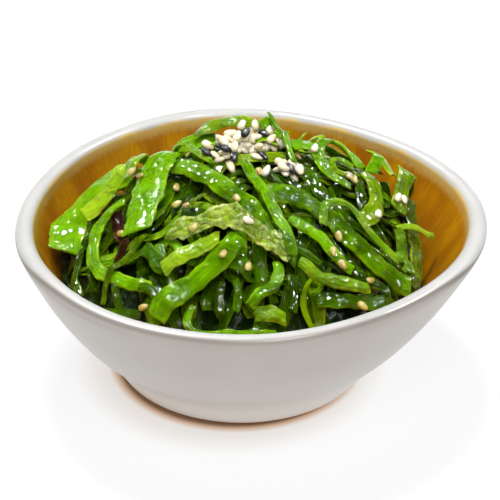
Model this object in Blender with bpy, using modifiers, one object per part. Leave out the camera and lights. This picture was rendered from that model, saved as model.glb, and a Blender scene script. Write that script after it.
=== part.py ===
"""A small bowl of wakame salad at real size, in metres, with +Z up.

The bowl is a turned profile whose outline is drawn a little out of round, as a
hand shapes it. The salad is a low heap of fine shreds that fills the bowl, and
the larger strips lie on that heap and over one another, in the order in which
they are listed. Sesame seeds lie in two small mounds on top. All the routes are
plans in millimetres, seen from above, with the front of the bowl at -Y. Each
strip finds its own height by resting on what is already under it.
"""

import math

import bmesh
import bpy
import numpy as np
from mathutils.bvhtree import BVHTree

MM = 0.001

# The bowl, in millimetres: radius and height along its outer and inner walls.
RIM_HEIGHT = 44.5
BOWL_OUTSIDE = [
    (57.6, 41.2),
    (56.2, 38.0),
    (51.2, 28.0),
    (44.6, 18.0),
    (37.5, 10.0),
    (34.1, 5.0),
    (32.6, 2.6),
    (30.4, 1.9),
]
BOWL_INSIDE = [
    (0.0, 4.8),
    (14.0, 5.2),
    (24.0, 7.0),
    (31.6, 10.8),
    (39.2, 17.6),
    (45.4, 26.4),
    (50.4, 35.4),
    (53.0, 41.0),
]
LIP_INNER_RADIUS = 53.4
LIP_OUTER_RADIUS = 58.0
LIP_CENTRE_HEIGHT = 42.4
LIP_STEPS = 4
FOOT_OUTER_RADIUS = 29.8
FOOT_INNER_RADIUS = 25.2
FOOT_RECESS = 1.4
FOOT_CENTRE = (-3.1, 0.5)
RIM_CENTRE = (-1.34, -0.6)
RIM_WAVES = [(3, 1.03, -0.27), (4, 0.48, 0.24)]  # how many to a turn, then the cosine and sine part
WAVE_POWER = 1.5
BOWL_SIDES = 48

# The heap of fine shreds that fills the bowl, in millimetres.
HEAP_TOP = (-3.0, 10.0, 61.0)
HEAP_HALF_WIDTH = 48.0
HEAP_HALF_FRONT = 58.0
HEAP_HALF_BACK = 42.0
HEAP_SHOULDER = 9.0  # how much wider the heap is at its back right
SHOULDER_DEPTH = 15.0
HEAP_FALL = 26.0
HEAP_POWER = 2.2
HEAP_RIDGE = [(-50, 9), (-38, 10), (-25, 8), (-12, 13), (-3, 16), (10, 15), (20, 12), (35, 14), (50, 14)]  # x and y
BACK_SLOPE = 0.85  # how steeply the heap falls behind its ridge
BED_DEPTH = 3.0  # how far the shreds lie below the surface of the whole heap
BED_SIDES = 28
BED_RINGS = 12
BED_CLEAR = 0.55
# How far out the heap keeps its height before it drops to the wall, by the angle in degrees.
SHORE = [(0, 42.5), (60, 42.0), (120, 43.0), (180, 51.0), (225, 53.0), (270, 54.0), (315, 48.0), (360, 42.5)]
SHORE_SLOPE = 4.0

# How the strips lie on one another, in millimetres.
REST_GAP = 0.38
SIDE_MARGIN = 0.5
RING_STEP = 2.8
SAMPLE_STEP = 0.45
MOST_SAG = 0.45  # how far one point of a strip may dip below the line between its neighbours
RAY_START = 120.0
SETTLE_ROUNDS = 60
NARROW = 2.4  # a strip narrower than this has four sides, and a wider one six

WAKAME_GREEN = (0.055, 0.25, 0.012, 1.0)
DARK_GREEN = (0.02, 0.10, 0.01, 1.0)
LIME_GREEN = (0.20, 0.42, 0.02, 1.0)
PALE_GREEN = (0.45, 0.52, 0.10, 1.0)
CREAM = (0.80, 0.70, 0.48, 1.0)
GLAZE_WHITE = (0.80, 0.78, 0.75, 1.0)


def clear_scene():
    for old in list(bpy.data.objects):
        bpy.data.objects.remove(old)


def new_collection(name):
    collection = bpy.data.collections.new(name)
    bpy.context.scene.collection.children.link(collection)
    return collection


def material(name, colour, roughness):
    made = bpy.data.materials.new(name)
    made.use_nodes = True
    shader = made.node_tree.nodes["Principled BSDF"]
    shader.inputs["Base Color"].default_value = colour
    shader.inputs["Roughness"].default_value = roughness
    made.diffuse_color = colour
    return made


def evaluated_mesh(obj):
    """A copy of the object's mesh as its modifiers or its bevel make it."""
    graph = bpy.context.evaluated_depsgraph_get()
    graph.update()
    return bpy.data.meshes.new_from_object(obj.evaluated_get(graph))


# The bowl


def outline_share(angle):
    """How far out the hand-drawn rim stands at an angle, against a true circle."""
    wave = sum(c * np.cos(n * angle) + s * np.sin(n * angle) for n, c, s in RIM_WAVES)
    return 1 + wave / LIP_OUTER_RADIUS


def centre_at(share):
    """The bowl's axis, which drifts from the foot's centre to the rim's."""
    x = FOOT_CENTRE[0] + (RIM_CENTRE[0] - FOOT_CENTRE[0]) * share
    y = FOOT_CENTRE[1] + (RIM_CENTRE[1] - FOOT_CENTRE[1]) * share
    return x, y


def drawn_place(radius, angle, height):
    """The plan position of a point of the bowl as drawn, about the middle that the drawing has."""
    share = height / RIM_HEIGHT
    centre_x, centre_y = centre_at(share)
    reach = radius * (1 + (outline_share(angle) - 1) * share**WAVE_POWER)
    return centre_x + reach * np.cos(angle), centre_y + reach * np.sin(angle)


def rim_middle():
    """The middle of the rim's box, which the whole object is centred on."""
    angle = np.arange(BOWL_SIDES) * 2 * math.pi / BOWL_SIDES
    x, y = drawn_place(LIP_OUTER_RADIUS, angle, LIP_CENTRE_HEIGHT)
    return (x.max() + x.min()) / 2, (y.max() + y.min()) / 2


RIM_MIDDLE = rim_middle()


def bowl_place(radius, angle, height):
    """The plan position of a point of the bowl, with the rim's middle at the origin."""
    x, y = drawn_place(radius, angle, height)
    return x - RIM_MIDDLE[0], y - RIM_MIDDLE[1]


def wall_height(x, y):
    """The height of the bowl's inner wall above a point of the plan."""
    radii = [r for r, _ in BOWL_INSIDE] + [LIP_INNER_RADIUS, LIP_OUTER_RADIUS]
    heights = [h for _, h in BOWL_INSIDE] + [LIP_CENTRE_HEIGHT, RIM_HEIGHT]
    height = 20.0
    for _ in range(8):
        share = height / RIM_HEIGHT
        centre_x, centre_y = centre_at(share)
        dx = x + RIM_MIDDLE[0] - centre_x
        dy = y + RIM_MIDDLE[1] - centre_y
        angle = math.atan2(dy, dx)
        reach = math.hypot(dx, dy) / (1 + (outline_share(angle) - 1) * share**WAVE_POWER)
        height = float(np.interp(reach, radii, heights))
    return height


def lip_profile():
    """The rounded bead at the rim, from the inner wall over the top to the outer wall."""
    middle = (LIP_INNER_RADIUS + LIP_OUTER_RADIUS) / 2
    half = (LIP_OUTER_RADIUS - LIP_INNER_RADIUS) / 2
    rise = RIM_HEIGHT - LIP_CENTRE_HEIGHT
    turns = [math.pi * (1 - step / LIP_STEPS) for step in range(LIP_STEPS + 1)]
    return [(middle + half * math.cos(t), LIP_CENTRE_HEIGHT + rise * math.sin(t)) for t in turns]


def bowl_profile():
    foot = [
        (FOOT_OUTER_RADIUS, 0.0),
        (FOOT_INNER_RADIUS, 0.0),
        (FOOT_INNER_RADIUS - FOOT_RECESS, FOOT_RECESS),
        (0.0, FOOT_RECESS),
    ]
    return BOWL_INSIDE + lip_profile() + BOWL_OUTSIDE + foot


def make_bowl(collection, finish):
    profile = bpy.data.meshes.new("bowl_profile")
    points = [(radius * MM, 0.0, height * MM) for radius, height in bowl_profile()]
    profile.from_pydata(points, [(i, i + 1) for i in range(len(points) - 1)], [])
    turned = bpy.data.objects.new("bowl_turned", profile)
    collection.objects.link(turned)
    screw = turned.modifiers.new("turn", "SCREW")
    screw.steps = BOWL_SIDES
    screw.render_steps = BOWL_SIDES
    screw.use_merge_vertices = True
    screw.merge_threshold = 1e-5
    mesh = evaluated_mesh(turned)
    bpy.data.objects.remove(turned)
    for vertex in mesh.vertices:
        x, y, z = vertex.co / MM
        x, y = bowl_place(math.hypot(x, y), math.atan2(y, x), z)
        vertex.co = (x * MM, y * MM, z * MM)
    mesh.shade_smooth()
    mesh.materials.clear()
    mesh.materials.append(finish)
    bowl = bpy.data.objects.new("bowl", mesh)
    collection.objects.link(bowl)
    return bowl


# The heap of shreds


def heap_height(x, y):
    """The height of the heap's outer surface above a point of the plan."""
    ridge = np.interp(x, [p[0] for p in HEAP_RIDGE], [p[1] for p in HEAP_RIDGE])
    behind = max(0.0, y - ridge)
    y -= behind
    half_depth = HEAP_HALF_FRONT if y < HEAP_TOP[1] else HEAP_HALF_BACK
    half_width = HEAP_HALF_WIDTH
    if x > HEAP_TOP[0]:
        half_width += HEAP_SHOULDER * min(1.0, max(0.0, y / SHOULDER_DEPTH))
    away = math.hypot((x - HEAP_TOP[0]) / half_width, (y - HEAP_TOP[1]) / half_depth)
    return HEAP_TOP[2] - HEAP_FALL * away**HEAP_POWER - BACK_SLOPE * behind


def bed_height(x, y):
    """The height of the top of the shreds, which drops to the wall where the bowl shows bare glaze."""
    angle = math.degrees(math.atan2(y, x)) % 360
    shore = np.interp(angle, [a for a, _ in SHORE], [r for _, r in SHORE])
    past = max(0.0, math.hypot(x, y) - shore)
    return heap_height(x, y) - BED_DEPTH - SHORE_SLOPE * past


def bed_floor(x, y):
    """The height that the shreds reach down to, just clear of the bowl's wall."""
    outward = 1 + BED_CLEAR / 50
    return wall_height(x * outward, y * outward) + BED_CLEAR


def bed_reach(angle):
    """How far from the middle the top of the shreds meets the wall."""
    low, high = 20.0, 56.0
    for _ in range(24):
        middle = (low + high) / 2
        x, y = middle * math.cos(angle), middle * math.sin(angle)
        if bed_height(x, y) > bed_floor(x, y):
            low = middle
        else:
            high = middle
    return low


def domed_body(name, place, sides, rings, finish, collection):
    """A closed body shaped from a sphere: place(share, angle, is_top) gives each of its points."""
    shape = bmesh.new()
    bmesh.ops.create_uvsphere(shape, u_segments=sides, v_segments=rings, radius=1.0)
    for vertex in shape.verts:
        x, y, z = vertex.co
        share = 1 - abs(math.asin(max(-1.0, min(1.0, z)))) / (math.pi / 2)
        point = place(share, math.atan2(y, x), z)
        vertex.co = [value * MM for value in point]
    mesh = bpy.data.meshes.new(name)
    shape.to_mesh(mesh)
    shape.free()
    mesh.shade_smooth()
    mesh.materials.append(finish)
    body = bpy.data.objects.new(name, mesh)
    collection.objects.link(body)
    return body


def make_bed(collection, finish):
    reaches = {}

    def place(share, angle, side):
        key = round(angle, 4)
        if key not in reaches:
            reaches[key] = bed_reach(angle)
        x = share * reaches[key] * math.cos(angle)
        y = share * reaches[key] * math.sin(angle)
        floor = bed_floor(x, y)
        if share > 0.999:
            return x, y, floor + 0.1
        return (x, y, max(bed_height(x, y), floor + 0.2)) if side > 0 else (x, y, floor)

    return domed_body("wakame_bed", place, BED_SIDES, BED_RINGS, finish, collection)


# What lies where


class Pile:
    """What is already in the bowl, for the next piece to rest on."""

    def __init__(self):
        self.points = []
        self.faces = []
        self.tree = None

    def add(self, obj):
        mesh = evaluated_mesh(obj)
        start = len(self.points)
        self.points += [obj.matrix_world @ vertex.co / MM for vertex in mesh.vertices]
        self.faces += [[start + i for i in face.vertices] for face in mesh.polygons]
        self.tree = BVHTree.FromPolygons(self.points, self.faces)
        bpy.data.meshes.remove(mesh)

    def height(self, x, y):
        hit = self.tree.ray_cast((x, y, RAY_START), (0, 0, -1))[0]
        return hit.z if hit else 0.0


def smooth_route(points, step):
    """Evenly spaced points on a smooth curve through the route's own points, and how far along each is."""
    route = np.array(points, float)
    padded = np.vstack([2 * route[0] - route[1], route, 2 * route[-1] - route[-2]])
    fine = []
    for i in range(len(route) - 1):
        a, b, c, d = padded[i : i + 4]
        for t in np.linspace(0, 1, 24, endpoint=False):
            bend = 2 * b + (c - a) * t + (2 * a - 5 * b + 4 * c - d) * t**2 + (3 * b - a - 3 * c + d) * t**3
            fine.append(0.5 * bend)
    fine = np.array(fine + [route[-1]])
    along = np.concatenate([[0], np.cumsum(np.linalg.norm(np.diff(fine, axis=0), axis=1))])
    count = max(3, int(round(along[-1] / step)) + 1)
    places = np.linspace(0, along[-1], count)
    spaced = np.stack([np.interp(places, along, fine[:, k]) for k in range(2)], axis=1)
    return spaced, places


def sideways(spaced):
    """The plan direction to the left of the route at each of its points."""
    ahead = np.gradient(spaced, axis=0)
    ahead /= np.linalg.norm(ahead, axis=1)[:, None]
    return np.stack([-ahead[:, 1], ahead[:, 0]], axis=1)


def lying_slope(spaced, left, width):
    """How far a strip leans to its left at each point, as the heap or the wall does there."""
    slopes = []
    for (x, y), (nx, ny) in zip(spaced, left):
        reach = max(width, 3.0) / 2
        rise = [
            max(heap_height(x + side * nx, y + side * ny), wall_height(x + side * nx, y + side * ny))
            for side in (reach, -reach)
        ]
        slopes.append((rise[0] - rise[1]) / (2 * reach))
    return np.clip(slopes, -0.9, 0.9)


def needed_heights(pile, spaced, places, slopes, width, thickness):
    """For samples all over the strip, how far along each is and how high its middle has to be there."""
    fine = np.arange(-SIDE_MARGIN, places[-1] + SIDE_MARGIN, SAMPLE_STEP)
    left = sideways(spaced)
    ahead = np.stack([left[:, 1], -left[:, 0]], axis=1)
    past = fine - np.clip(fine, places[0], places[-1])
    middle = np.stack([np.interp(fine, places, spaced[:, k]) for k in range(2)], axis=1)
    middle += np.stack([np.interp(fine, places, ahead[:, k]) for k in range(2)], axis=1) * past[:, None]
    across = np.stack([np.interp(fine, places, left[:, k]) for k in range(2)], axis=1)
    slope = np.interp(fine, places, slopes)
    half = width / 2 + SIDE_MARGIN
    count = max(3, int(math.ceil(2 * half / SAMPLE_STEP)) + 1)
    needed = np.full(len(fine), -np.inf)
    for offset in np.linspace(-half, half, count):
        level = np.cos(np.arctan(slope)) * offset
        for i, (x, y) in enumerate(middle + across * level[:, None]):
            under = pile.height(x, y)
            lift = under + REST_GAP + thickness / 2 * math.hypot(1, slope[i]) - slope[i] * level[i]
            needed[i] = max(needed[i], lift)
    return fine, needed


def settled_heights(places, fine, needed):
    """The lowest heights of a strip's rings that clear all that is under it without a sharp dip."""
    heights = np.interp(places, fine, needed) - 1.0
    spots = np.clip(fine, places[0], places[-1])
    index = np.clip(np.searchsorted(places, spots, side="right") - 1, 0, len(places) - 2)
    share = (spots - places[index]) / (places[index + 1] - places[index])
    for _ in range(SETTLE_ROUNDS):
        bridged = 0.5 * (heights[:-2] + heights[2:]) - MOST_SAG
        heights[1:-1] = np.maximum(heights[1:-1], bridged)
        short = needed - ((1 - share) * heights[index] + share * heights[index + 1])
        push = np.maximum(short, 0) / ((1 - share) ** 2 + share**2)
        lift = np.zeros_like(heights)
        np.maximum.at(lift, index, push * (1 - share))
        np.maximum.at(lift, index + 1, push * share)
        heights += lift
    short = needed - ((1 - share) * heights[index] + share * heights[index + 1])
    lift = np.zeros_like(heights)
    np.maximum.at(lift, index, np.maximum(short, 0))
    np.maximum.at(lift, index + 1, np.maximum(short, 0))
    return heights + lift


def cross_section(name, width, thickness, guides):
    """The strip's cut end: flat, with thinner edges, or a plain flat bar on a narrow strip."""
    edge = min(0.35 * width, 0.8 * thickness)
    half, high = width / 2, thickness / 2
    corners = [(-half, 0), (-half + edge, high), (half - edge, high)]
    if width < NARROW:
        corners = [(-half, -high / 2), (-half + edge, high)]
    corners += [(-x, -y) for x, y in corners]
    curve = bpy.data.curves.new(name, "CURVE")
    curve.dimensions = "2D"
    spline = curve.splines.new("POLY")
    spline.points.add(len(corners) - 1)
    for point, (x, y) in zip(spline.points, corners):
        point.co = (x * MM, y * MM, 0, 1)
    spline.use_cyclic_u = True
    guide = bpy.data.objects.new(name, curve)
    guide.hide_render = True
    guide.display_type = "WIRE"
    guides.objects.link(guide)
    return guide


def end_share(places, start, end, reach=4.0):
    """How wide the strip is at each ring, against its full width."""
    from_start = np.clip(places / reach, 0, 1)
    from_end = np.clip((places[-1] - places) / reach, 0, 1)
    return (start + (1 - start) * from_start) * (end + (1 - end) * from_end)


def make_strip(spec, pile, collection, guides, finishes):
    name, finish, width, thickness, points, more = spec
    step = more.get("step", RING_STEP)
    spaced, places = smooth_route(points, step)
    left = sideways(spaced)
    slopes = lying_slope(spaced, left, width)
    if "lean" in more:
        leans = more["lean"]
        slopes = np.interp(places, np.linspace(0, places[-1], len(leans)), leans)
    heights = settled_heights(places, *needed_heights(pile, spaced, places, slopes, width, thickness))
    if "lift" in more:
        lifts = more["lift"]
        heights = heights + np.interp(places, np.linspace(0, places[-1], len(lifts)), lifts)
    shares = end_share(places, *more.get("ends", (0.85, 0.85)))
    curve = bpy.data.curves.new(name, "CURVE")
    curve.dimensions = "3D"
    curve.twist_mode = "Z_UP"
    curve.bevel_mode = "OBJECT"
    curve.bevel_object = cross_section(name + "_section", width, thickness, guides)
    curve.use_fill_caps = True
    spline = curve.splines.new("POLY")
    spline.points.add(len(places) - 1)
    for point, (x, y), z, slope, share in zip(spline.points, spaced, heights, slopes, shares):
        point.co = (x * MM, y * MM, z * MM, 1)
        point.tilt = math.atan(slope)
        point.radius = share
    curve.materials.append(finishes[finish])
    strip = bpy.data.objects.new(name, curve)
    collection.objects.link(strip)
    pile.add(strip)
    return strip


# The strips, from the lowest to the uppermost. Each has a name, a finish, its width and its
# thickness, and the plan of its route, all in millimetres. A lift raises it and a lean turns up its
# left side, each as a list of values spread along the route.

STRIPS = [
    ("back_left_under", "dark", 4.5, 1.0, [(-38, 19), (-30, 25), (-21, 29), (-12, 33)], {}),
    ("back_right_under", "dark", 4.5, 1.0, [(33, 17), (26, 25), (17, 31), (8, 35)], {}),
    ("back_low_band", "green", 5.0, 1.0, [(-16, 39), (-7, 40), (3, 40), (13, 38), (20, 34)], {}),
    ("left_dark_stem", "dark", 2.6, 1.0, [(-42, -9.5), (-42.5, -14), (-43, -18.5), (-41.5, -23.5)], {}),
    ("left_lip_strip", "dark", 2.5, 1.0, [(-35, -31), (-31, -33.5), (-26, -36)], {}),
    ("front_left_leaf", "green", 4.0, 1.0, [(-25, -34.5), (-23.5, -37), (-22.5, -40)], {}),
    ("dark_left_leaf", "dark", 4.5, 1.0, [(-26, -21), (-23, -25), (-20, -29)], {}),
    ("dark_front_stem", "dark", 2.4, 1.0, [(-7, -33), (-7.6, -37), (-7.2, -41)], {}),
    ("dark_front_blade", "dark", 2.2, 1.0, [(-4, -32.5), (-3.2, -36), (-3.6, -40)], {}),
    ("dark_middle_band", "dark", 3.0, 1.0, [(-17, -15), (-12, -17), (-7, -18.5), (-2, -19)], {}),
    ("dark_middle_leaf", "dark", 4.5, 1.0, [(-13, -30), (-9, -29), (-4, -30.5), (0, -33)], {}),
    ("dark_right_blade", "dark", 2.8, 1.0, [(9.5, -30.5), (9.8, -34.5), (9.2, -39)], {}),
    ("right_low_band", "dark", 4.0, 1.0, [(15, -35), (21, -33), (28, -30), (34, -25.5)], {}),
    ("right_edge_band", "olive", 4.5, 1.0, [(39, 13), (40.5, 5), (41, -4), (40.5, -12), (38.5, -18)], {}),
    ("right_olive_leaf", "olive", 5.5, 1.0, [(29, 9), (31, 3), (30, -4), (27, -9)], {}),
    ("right_back_leaf", "green", 6.0, 1.0, [(10, 10), (15, 13), (21, 17), (27, 19)], {}),
    ("front_loop", "green", 2.0, 1.1, [(-13.5, -37), (-15, -40), (-14, -42.6), (-10.5, -43.8),
     (-5, -44), (1, -43.8), (5.5, -43)], {"step": 2.6}),
    ("front_lime_leaf", "lime", 4.4, 0.9, [(0.5, -41), (4, -40.6), (8, -40.5)], {}),
    ("front_curve", "green", 3.0, 1.1, [(6, -28.5), (6.2, -32), (5, -35.5), (2.3, -38.5), (-0.8, -41)], {}),
    ("left_end_piece", "green", 8.2, 1.0, [(-45.8, -8), (-46.5, -2.5), (-45.4, 3), (-42, 7), (-37.5, 9), (-31, 10)],
     {"ends": (1, 0.5), "lean": (-0.65, -0.7, -0.75, -0.75, -0.6, -0.5)}),
    ("left_hook", "green", 3.6, 1.2, [(-31, -3.5), (-35, -5), (-37.5, -8.5), (-38.7, -13), (-38, -18.5),
     (-36, -22), (-32, -26), (-27.5, -29.5), (-23.5, -31.5)], {"step": 2.8}),
    ("left_lime_strip", "lime", 4.8, 1.0, [(-42, -1), (-38.5, 1), (-35, 3), (-31.5, 5.5), (-29, 8.5)], {"step": 2.2}),
    ("left_thin_stem", "olive", 1.6, 1.0, [(-25, -17), (-30, -22), (-34, -25), (-35.5, -30)], {}),
    ("left_back_leaf", "lime", 4.6, 1.0, [(-30.5, 0), (-28.5, 6), (-25.5, 12)], {}),
    ("left_small_leaf", "green", 3.0, 1.0, [(-26.5, -33), (-23.5, -35), (-20.5, -36.8)], {}),
    ("middle_curved_strip", "green", 2.5, 1.0, [(-19, -22), (-17.2, -25.7), (-18, -30.5)], {}),
    ("middle_thin_arc", "olive", 1.5, 0.9, [(-14, -17), (-14.2, -13.5), (-11.5, -10.5)], {"step": 2.2}),
    ("right_long_band", "green", 6.2, 1.1, [(2, -10), (8, -10.5), (13.5, -11.5), (19, -14), (24, -17),
     (29, -19), (34.5, -20), (38.5, -20)], {"ends": (0.7, 0.9)}),
    ("right_under_stem", "dark", 3.0, 1.0, [(16, -19), (21, -22.5), (27, -25.5), (33, -26)], {}),
    ("right_middle_strip", "green", 3.4, 1.0, [(9, -16.5), (12.7, -19.5), (16.3, -22), (20.2, -25),
     (24, -26.5)], {}),
    ("right_dark_rod", "dark", 2.4, 1.4, [(10.5, -24.5), (13.5, -26), (16.5, -27)], {"step": 2.2}),
    ("right_curl", "green", 3.0, 1.0, [(27.5, 9), (24, 13.5), (19.5, 13.5), (16.8, 9), (17.2, 4.5), (20, 1.2),
     (24.5, 0.2)], {}),
    ("right_curl_inner", "lime", 2.0, 0.9, [(25.5, 7.5), (22.5, 9.2), (20, 7.5), (20.6, 4.5), (23.5, 3.2)],
     {"step": 2.3}),
    ("right_pale_leaf", "lime", 5.0, 0.9, [(30, 17), (33, 15), (36, 12)], {"lift": (2.5, 2.0, 1.0)}),
    ("right_shoulder_leaf", "olive", 5.6, 1.0, [(40, 20), (39.5, 14), (38, 8), (36.5, 3)],
     {"lift": (2.2, 1.0, 0.5, 0)}),
    ("right_lime_tip", "lime", 2.2, 1.0, [(36.5, -2), (41, 0), (46, 2)], {"lift": (0.3, 1.2, 3.0)}),
    ("right_curled_end", "green", 3.0, 1.0, [(35.5, -11), (38, -14), (38.6, -18)], {}),
    ("back_left_band", "green", 5.0, 1.0, [(-31, 17), (-25, 22), (-17, 25), (-9, 27)], {}),
    ("back_right_band", "green", 5.0, 1.0, [(-4, 30), (4, 30), (12, 28), (20, 23), (27, 22)], {}),
    ("back_cross_strip", "lime", 3.4, 1.0, [(-22, 33), (-14, 29), (-6, 24), (1, 21)], {}),
    ("back_stem", "green", 2.6, 1.1, [(9, 40), (10, 33), (9, 26), (6, 20)], {}),
    ("back_curl", "olive", 2.8, 1.0, [(-28, 31), (-33, 28), (-35, 22), (-30, 19.5), (-25, 24)], {"step": 2.8}),
    ("back_thin_strand", "lime", 1.7, 0.9, [(22, 30), (15, 25), (14, 19), (18, 14)], {"step": 2.8}),
    ("back_short_leaf", "dark", 5.0, 1.0, [(-11, 36), (-6, 33), (-1, 32)], {}),
    ("top_back_leaf", "green", 6.5, 1.0, [(-14.5, 13), (-10, 16), (-4, 17.5), (3, 17.5)],
     {"lean": (0.2, 0.5, 0.5, 0.3)}),
    ("upper_band", "green", 5.2, 1.1, [(-21, 4), (-15.5, -1), (-10, -6), (-5, -11.5), (-2, -15), (1.5, -19.5),
     (5, -24)], {"ends": (0.8, 0.7)}),
    ("big_leaf", "green", 7.4, 1.1, [(-20, 9), (-23, 3), (-25, -3), (-26.4, -10), (-27.5, -17.5)],
     {"ends": (0.7, 0.95)}),
    ("front_diagonal", "green", 5.8, 1.1, [(-1.5, -27), (-7, -30.5), (-12.6, -34), (-17, -36.3),
     (-20, -38.5), (-22, -40.8)], {}),
    ("front_left_short", "lime", 4.2, 1.0, [(-21, -30.5), (-16, -29.5), (-11.5, -28.5), (-7.5, -27.5)], {}),
    ("frilly_ribbon", "pale", 4.2, 1.2, [(-19.5, -21), (-15.5, -22.5), (-10, -24.6), (-4, -25),
     (1, -25.2), (6, -26.5), (9, -28.5)], {}),
    ("centre_stem", "green", 2.8, 1.2, [(-2, 0.5), (-0.6, -4), (0.6, -8.5), (3, -14), (5.5, -19),
     (7.5, -23), (8.8, -27), (9.6, -30)], {}),
    ("right_front_stem", "lime", 3.4, 1.2, [(11, -30), (15, -31.4), (19, -31), (23.5, -30), (28, -28.5)], {}),
    ("right_small_loop", "olive", 1.6, 1.0, [(14, -33), (12, -35.5), (12.6, -38.5), (14.5, -41)], {"step": 2.4}),
    ("pale_thread", "pale", 2.2, 0.8, [(-21, 13.5), (-14, 6), (-9.5, 0)], {}),
    ("top_pointed_tip", "green", 2.6, 0.9, [(10.5, 2.5), (9, 8), (7, 13.5), (4, 19.5)],
     {"lift": (0, 0, 0.4, 1.8), "ends": (1, 0.4)}),
    ("arch_thread", "pale", 2.3, 0.9, [(17, -18.5), (17.3, -15), (20, -12.6), (24.5, -12), (28.5, -13.2),
     (32.5, -15), (36, -16.6)], {"lift": (0, 1.8, 2.6, 2.6, 1.8, 0.8, 0), "step": 2.8}),
]

# The sesame mounds: their name, the plan of their middle and their half sizes, and how high they stand.
SESAME = [
    ("sesame_seeds_top", (-2.0, 8.5), (11.5, 11.0), 3.6),
    ("sesame_seeds_side", (7.5, -3.2), (5.4, 3.4), 1.6),
]
SESAME_EDGE = 1.0
SESAME_SIDES = 14
SESAME_RINGS = 8
SESAME_LOOK = 2.3


def make_sesame(spec, pile, collection, finish):
    """A low mound that rests on the strips and reaches the tips of the seeds."""
    name, middle, halves, height = spec

    def place(share, angle, side):
        x = middle[0] + halves[0] * share * math.cos(angle)
        y = middle[1] + halves[1] * share * math.sin(angle)
        around = [(0, 0)] + [
            (SESAME_LOOK * r * math.cos(t * math.pi / 4), SESAME_LOOK * r * math.sin(t * math.pi / 4))
            for r in (0.5, 1.0)
            for t in range(8)
        ]
        floor = max(pile.height(x + dx, y + dy) for dx, dy in around) + REST_GAP
        rise = SESAME_EDGE + height * (1 - share**2)
        if share > 0.999:
            return x, y, floor + SESAME_EDGE / 2
        return x, y, floor + (rise if side > 0 else 0)

    mound = domed_body(name, place, SESAME_SIDES, SESAME_RINGS, finish, collection)
    pile.add(mound)


def main():
    clear_scene()
    salad = new_collection("wakame")
    guides = new_collection("guides")
    finishes = {
        "green": material("wakame_green", WAKAME_GREEN, 0.2),
        "dark": material("wakame_dark", DARK_GREEN, 0.25),
        "lime": material("wakame_lime", LIME_GREEN, 0.2),
        "olive": material("wakame_olive", DARK_GREEN, 0.25),
        "pale": material("wakame_pale", PALE_GREEN, 0.3),
    }
    pile = Pile()
    pile.add(make_bowl(salad, material("glazed_stoneware", GLAZE_WHITE, 0.25)))
    pile.add(make_bed(salad, finishes["dark"]))
    for spec in STRIPS:
        make_strip(spec, pile, salad, guides, finishes)
    cream = material("sesame_cream", CREAM, 0.45)
    for spec in SESAME:
        make_sesame(spec, pile, salad, cream)


main()
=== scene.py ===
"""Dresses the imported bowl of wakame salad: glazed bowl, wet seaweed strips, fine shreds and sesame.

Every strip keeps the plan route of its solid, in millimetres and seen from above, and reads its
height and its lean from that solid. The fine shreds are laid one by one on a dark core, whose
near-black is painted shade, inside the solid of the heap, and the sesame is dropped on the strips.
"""

import math
import random

import bpy
import numpy as np
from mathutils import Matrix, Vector, noise
from mathutils.bvhtree import BVHTree


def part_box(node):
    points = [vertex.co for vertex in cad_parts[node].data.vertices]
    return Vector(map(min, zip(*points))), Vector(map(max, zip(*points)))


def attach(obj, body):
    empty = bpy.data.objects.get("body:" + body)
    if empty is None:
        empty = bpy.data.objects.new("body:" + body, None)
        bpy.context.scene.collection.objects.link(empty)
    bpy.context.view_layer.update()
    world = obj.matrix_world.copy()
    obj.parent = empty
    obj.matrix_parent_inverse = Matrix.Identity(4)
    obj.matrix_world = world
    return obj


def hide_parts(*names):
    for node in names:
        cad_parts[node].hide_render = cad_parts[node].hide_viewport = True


MM = 0.001
UP = Vector((0, 0, 1))

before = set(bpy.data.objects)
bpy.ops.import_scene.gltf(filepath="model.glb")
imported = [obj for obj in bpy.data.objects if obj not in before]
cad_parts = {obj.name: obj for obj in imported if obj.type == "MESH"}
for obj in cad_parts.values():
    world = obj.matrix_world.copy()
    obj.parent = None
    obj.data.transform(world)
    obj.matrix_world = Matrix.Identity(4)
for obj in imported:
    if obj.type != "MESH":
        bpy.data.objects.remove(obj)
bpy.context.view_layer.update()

# The bowl, in millimetres: radius and height along its walls.
RIM_HEIGHT = 44.5
BOWL_OUTSIDE = [
    (57.6, 41.2), (56.2, 38.0), (51.2, 28.0), (44.6, 18.0), (37.5, 10.0), (34.1, 5.0), (32.6, 2.6)
]
BOWL_INSIDE = [
    (14.0, 5.2), (24.0, 7.0), (31.6, 10.8), (39.2, 17.6), (45.4, 26.4), (50.4, 35.4), (53.0, 41.0)
]
BOWL_FLOOR = 4.8
LIP_INNER_RADIUS = 53.4
LIP_OUTER_RADIUS = 58.0
LIP_CENTRE_HEIGHT = 42.4
FOOT_NECK = [(31.0, 1.9), (30.3, 1.5)]
FOOT_RING = [(29.8, 0.35), (29.3, 0.0), (25.7, 0.0), (25.1, 0.4)]
FOOT_RECESS = [(23.8, 1.4), (12.0, 1.5)]
FOOT_CENTRE = (-3.1, 0.5)
RIM_CENTRE = (-1.34, -0.6)
RIM_WAVES = [(3, 1.03, -0.27), (4, 0.48, 0.24)]
WAVE_POWER = 1.5
SOLID_SIDES = 48
BOWL_SIDES = 168
WALL_STEP = 1.3
# How far the clay wanders from the drawn form, sideways and in height, and from what height up.
WOBBLE = 0.22
WOBBLE_IN_HEIGHT = 0.18
WOBBLE_FROM = 3.0
# What the glaze reads as the depth below the lip, all over the outside.
OUTSIDE_DEPTH = -6.0
# How far down the outside the depth below the lip is told, which places the white of the lip and the
# painted shade under it, and the length of the glaze's pattern there.
LIP_SHADE_REACH = 12
GLAZE_SPAN = 60

# The camera, in metres and millimetres of lens.
CAMERA_AIM = (-0.00045, 0.0, 0.03296)
CAMERA_RISE = math.radians(31)
CAMERA_DISTANCE = 0.45
CAMERA_LENS = 128.4


# Working with operators


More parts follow.
